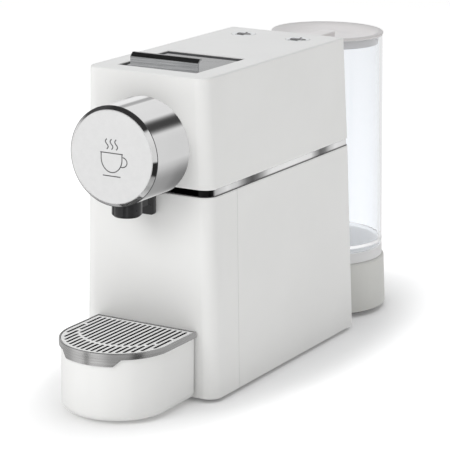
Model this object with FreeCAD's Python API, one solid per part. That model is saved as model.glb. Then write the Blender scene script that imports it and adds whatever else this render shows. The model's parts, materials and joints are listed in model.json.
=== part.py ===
import FreeCAD, Part
import math
import os

os.makedirs("parts", exist_ok=True)

# Slim pod coffee machine, millimetres, +Z up.
# The origin is on the floor under the middle of the whole machine.
# The front (brew head, drip tray) faces -Y, the water tank is at +Y.

# ---------------------------------------------------------------- driving dimensions
MACHINE_HEIGHT = 250.0
# The housing is drawn with its front face at about y = 0; save() shifts every piece.

# Tapered housing: half width, front plane and rear plane at three heights
TOP_Z = MACHINE_HEIGHT
BAND_TOP_Z = 165.3
BAND_BOTTOM_Z = 160.4
BOTTOM_Z = 3.0
TAPER_Z = (BOTTOM_Z, BAND_BOTTOM_Z, TOP_Z)
TAPER_HALF_WIDTH = (59.5, 55.5, 52.6)
TAPER_FRONT = (5.2, 3.0, 0.0)
TAPER_REAR = (237.0, 228.0, 221.7)
FRONT_CORNER = 11.0
REAR_CORNER = 2.0
WALL = 2.4
EDGE_CHAMFER = 1.0
BAND_INSET = 0.9
BAND_WALL = 2.0
COVER_SEAM_Y = 43.3
SEAM_GAP = 0.4

# Brew head
HEAD_Z = 194.2
HEAD_RADIUS = 37.5
HEAD_WALL = 1.8
HEAD_FRONT = -41.4
HEAD_BACK = 7.0
BEZEL_FRONT = -44.4
FACE_RADIUS = 34.7
HEAD_GAP = 0.35

# Spout
NOZZLE_Y = -24.0
NOZZLE_RADIUS = 11.3
NOZZLE_BOTTOM = 146.0
NOZZLE_TOP = 164.0
DRIP_HOLE_RADIUS = 1.8
DRIP_HOLE_X = 5.0
FLUTE_RADIUS = 3.2
FLUTE_X = 6.4
FLUTE_OFFSET = 0.9
BRACKET_HALF_WIDTH = 9.2
BRACKET_Y = (-2.0, 2.2)
BRACKET_Z = (142.8, 163.0)

# Lever recess in the top
WELL_HALF_WIDTH = 34.5
WELL_FRONT = 17.0
WELL_REAR = 91.0
WELL_FLOOR_TOP = 242.0
SKIRT = 1.5
LEVER_HALF_WIDTH = 33.2
LIP_HALF_WIDTH = 29.8
LIP_FRONT = 27.5
LIP_WALL = 1.6
LIP_BEVEL = 3.0
LIP_DEPTH = 5.6
LIP_TOP = 258.2
PLATE_BOTTOM = 246.7
PLATE_TOP = 248.3
HINGE_Y = 83.0
HINGE_Z = 242.5
PIN_RADIUS = 2.5
RUNNING_GAP = 0.08

# Crank and piston: the crank swings evenly to both sides of straight down.
# Lifting the lever pulls the front piston forward, away from the fixed chamber.
PISTON_TRAVEL = 16.0
LEVER_SWING = 80.0
CRANK_RADIUS = PISTON_TRAVEL / 2 / math.sin(math.radians(LEVER_SWING / 2))
CRANK_Y = HINGE_Y + PISTON_TRAVEL / 2
CRANK_Z = HINGE_Z - CRANK_RADIUS * math.cos(math.radians(LEVER_SWING / 2))
CHAMBER_FACE = 39.0
CHAMBER_BACK = 56.0
PISTON_FACE = 42.0
POD_POCKET_RADIUS = 22.8
POD_POCKET_DEPTH = 10.0
POD_SLOT = (26.5, 38.5)
ROD_X = 27.0
BAR_HALF_WIDTH = 30.5
CHEEK_IN = 31.0
CHEEK_OUT = 34.0
BOSS_RADIUS = 3.6
CHAMBER_RADIUS = 24.0
PISTON_RADIUS = 22.3
WATER_BORE = 2.0
FRONT_BAR = (21.0, 29.0)
REAR_BAR = (74.0, 84.0)
BAR_HALF_HEIGHT = 8.0
ARM_X = (22.5, 26.5)
FRAME_FRONT = 46.0
FRAME_REAR = 105.0
CHAMBER_PLATE = (50.0, 53.0)

# Base plate tail that carries the dock, and the cable gland beside it
TAIL_HALF_WIDTH = 24.0
GLAND_X = 44.0
GLAND_Z = 22.0
GLAND_RADIUS = 6.0

# Inner frame
DECK_Z = 163.0
DECK_THICK = 2.5
BASE_TOP = 5.6

# Water circuit
BOILER_FRONT = 112.0
BOILER_BACK = 166.0
BOILER_HALF_WIDTH = 28.0
BOILER_Z = (174.0, 214.0)
ELEMENT_RADIUS = 3.5
ELEMENT_BEND = 16.0
ELEMENT_Z = 217.5
BOILER_INLET_Y = 150.0
PUMP_Z = 86.0
PUMP_FRONT = 112.0
PUMP_BACK = 188.0
PUMP_BORE = 8.0
PUMP_RADIUS = 12.0
PUMP_PORT_RADIUS = 4.5
PUMP_COIL_HALF = 22.0
PUMP_COIL_Y = (128.0, 170.0)
MOUNT_RADIUS = 16.0
METER_Y = 210.0
METER_Z = 20.0
METER_RADIUS = 14.0
METER_CHAMBER = 11.0
PIPE_RADIUS = 4.0

# Drip tray drawer
TRAY_HALF_WIDTH = 44.0
TRAY_FRONT = -81.0
TRAY_BACK = 3.4
TRAY_INSET = 1.7
TRAY_TOP = 51.3
RIM_TOP = 56.3
RIM_WALL = 1.2
RIM_FILLET = 0.5
LEDGE_REACH = 4.9
TRAY_BOTTOM = 2.5
TRAY_WALL = 2.2
TRAY_FILLET = 6.0
TAB_HALF_WIDTH = 25.0
TAB_DROP = 5.2
GRILLE_THICK = 1.6
GRILLE_SINK = 0.5
GRILLE_GAP = 0.5
GRILLE_BORDER = 2.6
SLOT_WIDTH = 2.2
SLOT_PITCH = 4.5
SLOT_COUNT = 18
GRILLE_RIB_RADIUS = 38.3
GRILLE_RIB_Y = -20.0
GRILLE_RIB_HALF = 1.4
BIN_HALF_WIDTH = 36.0
BIN_BACK = 104.0
BIN_TOP = 47.5

# Water tank and dock
TANK_Y = 294.0
DOCK_RADIUS_BOTTOM = 55.6
DOCK_RADIUS_TOP = 53.5
DOCK_BOTTOM = 4.7
DOCK_TOP = 47.0
DOCK_SKIN = 2.4
TANK_BOTTOM = 47.4
TANK_TOP = 239.3
TANK_RADIUS_BOTTOM = 51.8
TANK_RADIUS_TOP = 47.2
TANK_WALL = 2.0
TANK_FOOT_TOP = 56.4
TANK_FLOOR = 60.0
TANK_FLOOR_TOP = 62.5
VALVE_HEAD = (64.5, 66.5)
LID_RADIUS = 47.8
LID_FLANGE = 239.6
LID_TOP = 241.9
LID_PLUG_BOTTOM = 232.0
LID_PLUG_GAP = 0.4
LID_PLUG_TAPER = 1.6
DISH_FLOOR = 235.2
GRIP_HALF_WIDTH = 7.0
GRIP_END_Y = 5.0
GRIP_ROUND = 6.0
SOCKET_RADIUS = 7.5
STUB_RADIUS = 7.0

# Buttons
BUTTON_X = 25.0
BUTTON_Y = 193.0
BUTTON_RADIUS = 10.0
BUTTON_GAP = 0.35
COLLAR_WALL = 2.0
COLLAR_DEPTH = 5.0
BOARD_Z = 232.4

GRILLE_LEVEL = RIM_TOP - GRILLE_THICK - GRILLE_SINK

# The drip tray's nose and the dock's back are the two ends of the machine
MODEL_SHIFT_Y = -(TRAY_FRONT + TANK_Y + DOCK_RADIUS_BOTTOM) / 2

X_AXIS = FreeCAD.Vector(1, 0, 0)
Y_AXIS = FreeCAD.Vector(0, 1, 0)
Z_AXIS = FreeCAD.Vector(0, 0, 1)


# ---------------------------------------------------------------- basic shapes
def vec(x, y, z):
    return FreeCAD.Vector(x, y, z)


def box(x0, x1, y0, y1, z0, z1):
    return Part.makeBox(x1 - x0, y1 - y0, z1 - z0, vec(x0, y0, z0))


def mid_box(half_width, y0, y1, z0, z1):
    """A box that is centred on x = 0."""
    return box(-half_width, half_width, y0, y1, z0, z1)


def rod_x(radius, x0, x1, y, z):
    return Part.makeCylinder(radius, x1 - x0, vec(x0, y, z), X_AXIS)


def rod_y(radius, y0, y1, x, z):
    return Part.makeCylinder(radius, y1 - y0, vec(x, y0, z), Y_AXIS)


def rod_z(radius, z0, z1, x, y):
    return Part.makeCylinder(radius, z1 - z0, vec(x, y, z0), Z_AXIS)


def cone_z(radius0, radius1, z0, z1, x, y):
    return Part.makeCone(radius0, radius1, z1 - z0, vec(x, y, z0), Z_AXIS)


def fuse(shapes):
    whole = shapes[0]
    for shape in shapes[1:]:
        whole = whole.fuse(shape)
    return whole.removeSplitter()


def revolve_z(profile, x, y):
    """Turn a closed (radius, z) outline about the vertical line through x, y."""
    points = [vec(x + radius, y, z) for radius, z in profile]
    face = Part.Face(Part.makePolygon(points + points[:1]))
    return face.revolve(vec(x, y, 0), Z_AXIS, 360)


def extrude_x(outline, x0, x1):
    """Push a closed (y, z) outline along X."""
    points = [vec(x0, y, z) for y, z in outline]
    face = Part.Face(Part.makePolygon(points + points[:1]))
    return face.extrude(vec(x1 - x0, 0, 0))


def save(name, shape):
    shape = shape.copy()
    shape.translate(vec(0, MODEL_SHIFT_Y, 0))
    volume = shape.Volume / 1000.0
    print(name, len(shape.Solids), round(volume, 2), "cm3", "" if shape.isValid() else "INVALID")
    shape.exportStep("parts/" + name + ".step")


# ---------------------------------------------------------------- tapered housing
def taper(values, z):
    """Straight line between the three heights of the taper table."""
    index = 0 if z < TAPER_Z[1] else 1
    share = (z - TAPER_Z[index]) / (TAPER_Z[index + 1] - TAPER_Z[index])
    return values[index] + share * (values[index + 1] - values[index])


def rounded_rectangle(half_width, y0, y1, front_radius, rear_radius, z):
    """Closed wire at height z with round front and rear corners."""
    corners = (
        (half_width, y0, front_radius, -90),
        (half_width, y1, rear_radius, 0),
        (-half_width, y1, rear_radius, 90),
        (-half_width, y0, front_radius, 180),
    )
    arcs = []
    for x, y, radius, start in corners:
        centre_x = x - math.copysign(radius, x)
        centre_y = y + radius if y == y0 else y - radius
        points = []
        for angle in (start, start + 45, start + 90):
            turn = math.radians(angle)
            points.append(vec(centre_x + radius * math.cos(turn), centre_y + radius * math.sin(turn), z))
        arcs.append(points)
    edges = []
    for number, points in enumerate(arcs):
        edges.append(Part.Arc(*points).toShape())
        edges.append(Part.LineSegment(points[2], arcs[(number + 1) % 4][0]).toShape())
    return Part.Wire(edges)


def housing_section(z, inset):
    half_width = taper(TAPER_HALF_WIDTH, z) - inset
    front = taper(TAPER_FRONT, z) + inset
    rear = taper(TAPER_REAR, z) - inset
    front_radius = max(FRONT_CORNER - inset, 1.0)
    rear_radius = max(REAR_CORNER - inset, 1.0)
    return rounded_rectangle(half_width, front, rear, front_radius, rear_radius, z)


def housing_solid(z0, z1, inset, bottom_chamfer=0.0, top_chamfer=0.0):
    """The housing's tapered block between two heights, inset on every side."""
    levels = [(z0, bottom_chamfer)]
    if bottom_chamfer:
        levels.append((z0 + bottom_chamfer, 0.0))
    if top_chamfer:
        levels.append((z1 - top_chamfer, 0.0))
    levels.append((z1, top_chamfer))
    solids = []
    for (low, low_in), (high, high_in) in zip(levels, levels[1:]):
        wires = [housing_section(low, inset + low_in), housing_section(high, inset + high_in)]
        solids.append(Part.makeLoft(wires, True, True))
    return fuse(solids) if len(solids) > 1 else solids[0]


def head_hole():
    return rod_y(HEAD_RADIUS + HEAD_GAP, -5, 30, 0, HEAD_Z)


def build_upper_shell():
    outer = housing_solid(BAND_TOP_Z, TOP_Z, 0.0, EDGE_CHAMFER, EDGE_CHAMFER)
    shell = outer.cut(housing_solid(BAND_TOP_Z - 1, TOP_Z - WALL, WALL))
    skirt = mid_box(WELL_HALF_WIDTH + SKIRT, WELL_FRONT - SKIRT, WELL_REAR + SKIRT, WELL_FLOOR_TOP - SKIRT, TOP_Z - 1)
    shell = shell.fuse(skirt)
    for side in (-1, 1):
        collar = rod_z(BUTTON_RADIUS + COLLAR_WALL, TOP_Z - COLLAR_DEPTH, TOP_Z - 1, side * BUTTON_X, BUTTON_Y)
        shell = shell.fuse(collar)
    shell = shell.cut(mid_box(WELL_HALF_WIDTH, WELL_FRONT, WELL_REAR, WELL_FLOOR_TOP - 3, TOP_Z + 5))
    for side in (-1, 1):
        hole = rod_z(BUTTON_RADIUS + BUTTON_GAP, TOP_Z - 9, TOP_Z + 5, side * BUTTON_X, BUTTON_Y)
        shell = shell.cut(hole)
    shell = shell.cut(head_hole())
    save("upper_shell", shell.removeSplitter())


def build_band():
    outer = housing_solid(BAND_BOTTOM_Z, BAND_TOP_Z, BAND_INSET)
    inner = housing_solid(BAND_BOTTOM_Z - 1, BAND_TOP_Z + 1, BAND_INSET + BAND_WALL)
    save("chrome_band", outer.cut(inner).cut(head_hole()))


def lower_housing():
    outer = housing_solid(BOTTOM_Z, BAND_BOTTOM_Z, 0.0, 0.0, EDGE_CHAMFER)
    return outer.cut(housing_solid(BOTTOM_Z - 1, BAND_BOTTOM_Z + 1, WALL))


def build_front_cover(housing):
    cover = housing.common(box(-80, 80, -10, COVER_SEAM_Y - SEAM_GAP / 2, 0, 170))
    opening = mid_box(BIN_HALF_WIDTH + 2.0, -5, 20, BASE_TOP + 0.2, BIN_TOP + 2.0)
    save("front_cover", cover.cut(opening).cut(head_hole()))


def build_lower_shell(housing):
    shell = housing.common(box(-80, 80, COVER_SEAM_Y + SEAM_GAP / 2, 260, 0, 170))
    shell = shell.cut(mid_box(TAIL_HALF_WIDTH + 0.3, 215, 250, 0, 42))
    shell = shell.cut(rod_y(GLAND_RADIUS, 215, 250, GLAND_X, GLAND_Z))
    save("lower_shell", shell)


FEET = (
    ("front_left", -43.0, 24.0),
    ("front_right", 43.0, 24.0),
    ("rear_left", -32.0, TANK_Y + 16.0),
    ("rear_right", 32.0, TANK_Y + 16.0),
)
SCREW_PLACES = ((-50.0, 60.0), (50.0, 60.0), (-50.0, 214.0), (50.0, 214.0))
FOOT_STEM = 3.0
SCREW_RADIUS = 2.0


def build_base_plate():
    clear = WALL + 0.3
    plate = housing_solid(BOTTOM_Z, BASE_TOP, clear)
    tail = mid_box(TAIL_HALF_WIDTH, 220, TANK_Y - 40, BOTTOM_Z, BASE_TOP)
    disc = rod_z(DOCK_RADIUS_BOTTOM - 3.2, BOTTOM_Z, BASE_TOP, 0, TANK_Y)
    plate = fuse([plate, disc, tail])
    for side in (-1, 1):
        rail_x = side * (BIN_HALF_WIDTH + 2.6)
        plate = plate.fuse(box(rail_x - 1.2, rail_x + 1.2, 14, BIN_BACK, BASE_TOP - 0.5, 12.0))
    for name, x, y in FEET:
        plate = plate.cut(rod_z(FOOT_STEM, 0, 10, x, y))
    for x, y in SCREW_PLACES:
        plate = plate.cut(rod_z(SCREW_RADIUS, 0, 10, x, y))
    save("base_plate", plate.removeSplitter())


def build_feet():
    for name, x, y in FEET:
        pad = cone_z(7.0, 8.0, 0, 1.0, x, y).fuse(rod_z(8.0, 1.0, BOTTOM_Z, x, y))
        stem = rod_z(FOOT_STEM, BOTTOM_Z, BASE_TOP, x, y)
        save("foot_" + name, fuse([pad, stem]))


def build_screws():
    screws = []
    for x, y in SCREW_PLACES:
        head = rod_z(3.6, BOTTOM_Z - 1.6, BOTTOM_Z, x, y).cut(mid_box(0.5, -3, 3, 0, 2).translated(vec(x, y, 0)))
        screws.append(head.fuse(rod_z(SCREW_RADIUS, BOTTOM_Z, BASE_TOP + 4, x, y)).removeSplitter())
    save("base_screws", Part.makeCompound(screws))


# ---------------------------------------------------------------- inner frame
LEG_PLACES = ((-47.0, 66.0), (47.0, 66.0), (-47.0, 205.0), (47.0, 205.0))
LEG_RADIUS = 4.0


def build_frame():
    deck = mid_box(51.0, 47, 216, DECK_Z - DECK_THICK, DECK_Z)
    for x, y, radius in ((-30.0, 190.0, 9.0), (30.0, 190.0, 9.0), (0.0, BOILER_INLET_Y, 6.0)):
        deck = deck.cut(rod_z(radius, 150, 170, x, y))
    save("deck_plate", deck)
    legs = []
    for x, y in LEG_PLACES:
        legs.append(rod_z(LEG_RADIUS, BASE_TOP, DECK_Z - DECK_THICK, x, y))
    save("frame_legs", Part.makeCompound(legs))


def build_mechanism_frame():
    cheek = [(FRAME_FRONT, 172), (FRAME_FRONT + 4, DECK_Z), (FRAME_REAR, DECK_Z), (FRAME_REAR, 222),
             (HINGE_Y + BOSS_RADIUS, 236), (HINGE_Y - BOSS_RADIUS, 236), (60, 230), (FRAME_FRONT, 222)]
    parts = []
    for side in (-1, 1):
        x0, x1 = sorted((side * CHEEK_IN, side * CHEEK_OUT))
        parts.append(extrude_x(cheek, x0, x1))
        parts.append(rod_x(BOSS_RADIUS, x0, x1, HINGE_Y, HINGE_Z))
        parts.append(box(x0, x1, HINGE_Y - BOSS_RADIUS, HINGE_Y + BOSS_RADIUS, 232, HINGE_Z))
    y0, y1 = CHAMBER_PLATE
    parts.append(mid_box(CHEEK_OUT, y0, y1, DECK_Z, 222).cut(rod_y(CHAMBER_RADIUS, 40, 60, 0, HEAD_Z)))
    rear_hole = rod_y(4.0, FRAME_REAR - 10, FRAME_REAR + 5, 0, HEAD_Z)
    parts.append(mid_box(CHEEK_OUT, FRAME_REAR - 3, FRAME_REAR, DECK_Z, 214).cut(rear_hole))
    frame = fuse(parts)
    frame = frame.cut(rod_x(PIN_RADIUS, -40, 40, HINGE_Y, HINGE_Z))
    for side in (-1, 1):
        frame = frame.cut(rod_y(PIN_RADIUS + RUNNING_GAP, 40, 60, side * ROD_X, HEAD_Z))
    save("mechanism_frame", frame)
    save("hinge_pin", rod_x(PIN_RADIUS, -CHEEK_OUT, CHEEK_OUT, HINGE_Y, HINGE_Z))


def build_well_floor():
    floor_back = 71.0
    low = WELL_FLOOR_TOP - 2 * SKIRT
    middle = WELL_FLOOR_TOP - SKIRT
    floor = mid_box(WELL_HALF_WIDTH + SKIRT, WELL_FRONT - SKIRT, floor_back, low, middle)
    raised = mid_box(WELL_HALF_WIDTH, WELL_FRONT, floor_back, middle, WELL_FLOOR_TOP)
    guide = mid_box(25.2, POD_SLOT[0] - 1.2, POD_SLOT[1] + 1.2, low - 5, middle)
    slot = mid_box(24.0, POD_SLOT[0], POD_SLOT[1], low - 10, WELL_FLOOR_TOP + 5)
    save("lever_well", fuse([floor, raised, guide]).cut(slot))


# ---------------------------------------------------------------- brew head
def nozzle_core(extra=0.0, bottom=NOZZLE_BOTTOM):
    return rod_z(NOZZLE_RADIUS + extra, bottom, NOZZLE_TOP, 0, NOZZLE_Y)


def build_head():
    sleeve = rod_y(HEAD_RADIUS, HEAD_FRONT, HEAD_BACK, 0, HEAD_Z)
    sleeve = sleeve.cut(rod_y(HEAD_RADIUS - HEAD_WALL, HEAD_FRONT - 1, HEAD_BACK + 1, 0, HEAD_Z))
    sleeve = sleeve.cut(nozzle_core(0.3, 150))
    sleeve = sleeve.cut(mid_box(BRACKET_HALF_WIDTH + 0.3, NOZZLE_Y, HEAD_BACK + 1, 150, 166))
    save("chrome_sleeve", sleeve)
    bezel = Part.makeCone(FACE_RADIUS + 0.3, HEAD_RADIUS, HEAD_FRONT - BEZEL_FRONT,
                          vec(0, BEZEL_FRONT, HEAD_Z), Y_AXIS)
    bezel = bezel.fuse(rod_y(HEAD_RADIUS - HEAD_WALL, HEAD_FRONT, HEAD_FRONT + 4, 0, HEAD_Z))
    bezel = bezel.cut(rod_y(FACE_RADIUS, BEZEL_FRONT - 1, HEAD_FRONT - 0.6, 0, HEAD_Z))
    bezel = bezel.cut(rod_y(FACE_RADIUS - 4, BEZEL_FRONT - 1, HEAD_FRONT + 6, 0, HEAD_Z))
    save("bezel_ring", bezel.removeSplitter())
    save("face_disc", rod_y(FACE_RADIUS, BEZEL_FRONT - 0.2, HEAD_FRONT - 0.6, 0, HEAD_Z))


def build_chamber():
    body = rod_y(CHAMBER_RADIUS, CHAMBER_FACE, CHAMBER_BACK, 0, HEAD_Z)
    body = body.fuse(rod_y(28.5, CHAMBER_PLATE[0] - 3, CHAMBER_PLATE[0], 0, HEAD_Z).cut(
        rod_y(PIN_RADIUS + 0.8, 40, 60, ROD_X, HEAD_Z)).cut(rod_y(PIN_RADIUS + 0.8, 40, 60, -ROD_X, HEAD_Z)))
    pocket_floor = CHAMBER_FACE + POD_POCKET_DEPTH
    body = body.cut(rod_y(POD_POCKET_RADIUS, CHAMBER_FACE - 1, pocket_floor, 0, HEAD_Z))
    body = body.cut(rod_y(WATER_BORE, CHAMBER_FACE, CHAMBER_BACK + 1, 0, HEAD_Z))
    seat_out = POD_POCKET_RADIUS - 0.6
    seat_in = POD_POCKET_RADIUS - 3.4
    seat = rod_y(seat_out, pocket_floor - 1, pocket_floor + 1.4, 0, HEAD_Z)
    body = body.cut(seat.cut(rod_y(seat_in, 40, 60, 0, HEAD_Z)))
    save("brew_chamber", body.removeSplitter())
    gasket = rod_y(seat_out, pocket_floor - 0.4, pocket_floor + 1.4, 0, HEAD_Z)
    save("chamber_gasket", gasket.cut(rod_y(seat_in, 40, 60, 0, HEAD_Z)))
    trough = mid_box(9.0, NOZZLE_Y - 8.5, 18, NOZZLE_TOP, 170.4)
    channel = extrude_x([(NOZZLE_Y - 7, 171), (NOZZLE_Y - 7, NOZZLE_TOP + 1.2), (NOZZLE_Y + 7, NOZZLE_TOP + 1.2),
                         (16.5, NOZZLE_TOP + 3.0), (16.5, 171)], -7.4, 7.4)
    trough = trough.cut(channel).cut(rod_z(6.0, NOZZLE_TOP - 2, 172, 0, NOZZLE_Y))
    save("coffee_trough", trough)


def build_spout():
    nozzle = nozzle_core()
    rim = [edge for edge in nozzle.Edges if abs(edge.CenterOfMass.z - NOZZLE_BOTTOM) < 0.01]
    nozzle = nozzle.makeChamfer(1.6, rim)
    for side in (-1, 1):
        flute = rod_z(FLUTE_RADIUS, 100, 170, side * FLUTE_X, NOZZLE_Y - NOZZLE_RADIUS - FLUTE_OFFSET)
        nozzle = nozzle.cut(flute)
        nozzle = nozzle.cut(rod_z(DRIP_HOLE_RADIUS, 130, NOZZLE_TOP - 5, side * DRIP_HOLE_X, NOZZLE_Y))
    nozzle = nozzle.cut(rod_z(8.0, NOZZLE_TOP - 6, NOZZLE_TOP + 1, 0, NOZZLE_Y))
    y0, y1 = BRACKET_Y
    z0, z1 = BRACKET_Z
    web = mid_box(4.5, NOZZLE_Y + NOZZLE_RADIUS - 2, y0, 150.0, 162.0)
    save("spout_nozzle", fuse([nozzle, web]))
    plate = mid_box(BRACKET_HALF_WIDTH, y0, y1, z0, z1)
    low = [edge for edge in plate.Edges
           if abs(edge.CenterOfMass.z - z0) < 0.01 and abs(abs(edge.CenterOfMass.x) - BRACKET_HALF_WIDTH) < 0.01]
    plate = plate.makeFillet(2.0, low)
    save("spout_bracket", plate.fuse(mid_box(6.0, y1, 11.0, 159.0, z1)).removeSplitter())


# ---------------------------------------------------------------- lever and piston
def build_lever():
    plate = mid_box(LEVER_HALF_WIDTH, LIP_FRONT, HINGE_Y + 4.0, PLATE_BOTTOM, PLATE_TOP)
    inner_bevel = LIP_BEVEL + 0.7
    lip_outline = [(LIP_FRONT, PLATE_BOTTOM), (LIP_FRONT, LIP_TOP - LIP_BEVEL), (LIP_FRONT + LIP_BEVEL, LIP_TOP),
                   (LIP_FRONT + LIP_DEPTH, LIP_TOP), (LIP_FRONT + LIP_DEPTH, LIP_TOP - LIP_WALL),
                   (LIP_FRONT + inner_bevel, LIP_TOP - LIP_WALL), (LIP_FRONT + LIP_WALL, LIP_TOP - inner_bevel),
                   (LIP_FRONT + LIP_WALL, PLATE_BOTTOM)]
    lip = extrude_x(lip_outline, -LIP_HALF_WIDTH, LIP_HALF_WIDTH)
    lever = fuse([plate, lip])
    corners = [edge for edge in lever.Edges
               if edge.BoundBox.YLength < 0.01 and edge.BoundBox.XLength < 0.01
               and abs(edge.CenterOfMass.y - LIP_FRONT) < 0.01 and edge.CenterOfMass.z < PLATE_TOP]
    lever = lever.makeFillet(1.2, corners) if corners else lever
    save("lever_plate", lever)
    arms = []
    for side in (-1, 1):
        x0, x1 = sorted((side * ARM_X[0], side * ARM_X[1]))
        outline = [(HINGE_Y - 12, PLATE_BOTTOM), (HINGE_Y - 4.0, HINGE_Z), (CRANK_Y - 3.4, CRANK_Z),
                   (CRANK_Y, CRANK_Z - 3.4), (HINGE_Y + 4.0, HINGE_Z - 1.0), (HINGE_Y + BOSS_RADIUS, PLATE_BOTTOM)]
        arms.append(fuse([extrude_x(outline, x0, x1), rod_x(4.2, x0, x1, HINGE_Y, HINGE_Z),
                          rod_x(3.4, x0, x1, CRANK_Y, CRANK_Z)]))
    tie = mid_box(ARM_X[1], HINGE_Y - 16, HINGE_Y - 10, PLATE_BOTTOM - 1.6, PLATE_BOTTOM)
    arms = fuse(arms + [tie])
    arms = arms.cut(rod_x(PIN_RADIUS + RUNNING_GAP, -40, 40, HINGE_Y, HINGE_Z))
    arms = arms.cut(rod_x(PIN_RADIUS, -40, 40, CRANK_Y, CRANK_Z))
    save("lever_arms", arms)
    save("crank_pin", rod_x(PIN_RADIUS, -ARM_X[1], ARM_X[1], CRANK_Y, CRANK_Z))


def build_piston():
    disc = rod_y(PISTON_RADIUS, PISTON_FACE - 10, PISTON_FACE, 0, HEAD_Z)
    body = rod_y(15.0, 12, PISTON_FACE - 9, 0, HEAD_Z)
    spout = rod_z(3.5, 172.2, HEAD_Z, 0, 15.5)
    low, high = HEAD_Z - BAR_HALF_HEIGHT, HEAD_Z + BAR_HALF_HEIGHT
    bar = mid_box(BAR_HALF_WIDTH, FRONT_BAR[0], FRONT_BAR[1], low, high)
    piston = fuse([disc, body, spout, bar])
    piston = piston.cut(rod_y(18.0, PISTON_FACE - 1.2, PISTON_FACE + 1, 0, HEAD_Z))
    piston = piston.cut(rod_y(1.8, 15.5, PISTON_FACE + 1, 0, HEAD_Z)).cut(rod_z(1.8, 170, HEAD_Z, 0, 15.5))
    bar_back = mid_box(BAR_HALF_WIDTH, REAR_BAR[0], REAR_BAR[1], low, high)
    bar_back = bar_back.cut(rod_y(PIPE_RADIUS + 0.6, 60, 90, 0, HEAD_Z))
    web = mid_box(5.0, REAR_BAR[0], CRANK_Y + 9, HEAD_Z + 6, HEAD_Z + 14)
    yoke = mid_box(5.0, CRANK_Y - 9, CRANK_Y + 9, HEAD_Z + 6, 238.2)
    gap = PIN_RADIUS + 0.6
    slot = mid_box(6.0, CRANK_Y - gap, CRANK_Y + gap, 226.5, 236.2)
    carriage = fuse([bar_back, web, yoke]).cut(slot)
    for side in (-1, 1):
        hole = rod_y(PIN_RADIUS, 10, 90, side * ROD_X, HEAD_Z)
        carriage = carriage.cut(hole)
        piston = piston.cut(hole)
    save("brew_piston", piston)
    save("piston_carriage", carriage)
    rods = [rod_y(PIN_RADIUS, FRONT_BAR[0], REAR_BAR[1], side * ROD_X, HEAD_Z) for side in (-1, 1)]
    save("tie_rods", Part.makeCompound(rods))
    pipe = rod_y(PIPE_RADIUS, CHAMBER_BACK, BOILER_FRONT, 0, HEAD_Z)
    save("hot_water_pipe", pipe.cut(rod_y(WATER_BORE, CHAMBER_BACK - 1, BOILER_FRONT + 1, 0, HEAD_Z)))


def build_chute():
    outer = mid_box(28.0, 19, 44, 60, 165)
    inner = mid_box(26.4, 20.6, 42.4, 59, 166)
    chute = outer.cut(inner)
    for side in (-1, 1):
        x0, x1 = sorted((side * 27.0, side * 46.0))
        chute = chute.fuse(box(x0, x1, 36, 44, DECK_Z, 165))
        x0, x1 = sorted((side * 36.0, side * 46.0))
        chute = chute.fuse(box(x0, x1, 43, 54, DECK_Z, 165))
    save("pod_chute", chute.removeSplitter())


# ---------------------------------------------------------------- water circuit and electrics
def build_boiler():
    low, high = BOILER_Z
    block = mid_box(BOILER_HALF_WIDTH, BOILER_FRONT, BOILER_BACK, low, high)
    ribs = []
    for number in range(5):
        rib_y = BOILER_FRONT + 6 + 9 * number
        ribs.append(mid_box(BOILER_HALF_WIDTH + 3, rib_y, rib_y + 3, low + 3, high - 3))
    legs = [box(x - 4, x + 4, y, y + 8, DECK_Z, low) for x in (-20, 20) for y in (BOILER_FRONT + 2, BOILER_BACK - 10)]
    block = fuse([block] + ribs + legs).cut(rod_y(WATER_BORE, 100, 150, 0, HEAD_Z))
    block = block.cut(rod_z(WATER_BORE, 170, HEAD_Z, 0, BOILER_INLET_Y))
    save("thermoblock", block)
    bend_y = BOILER_BACK - 20
    arms = []
    for x in (-ELEMENT_BEND, ELEMENT_BEND):
        arms.append(rod_y(ELEMENT_RADIUS, BOILER_FRONT - 4, bend_y, x, ELEMENT_Z))
    bend = Part.makeTorus(ELEMENT_BEND, ELEMENT_RADIUS, vec(0, bend_y, ELEMENT_Z), Z_AXIS)
    bend = bend.common(mid_box(30, bend_y, BOILER_BACK + 10, 200, 230))
    save("heating_element", fuse(arms + [bend]))


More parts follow.
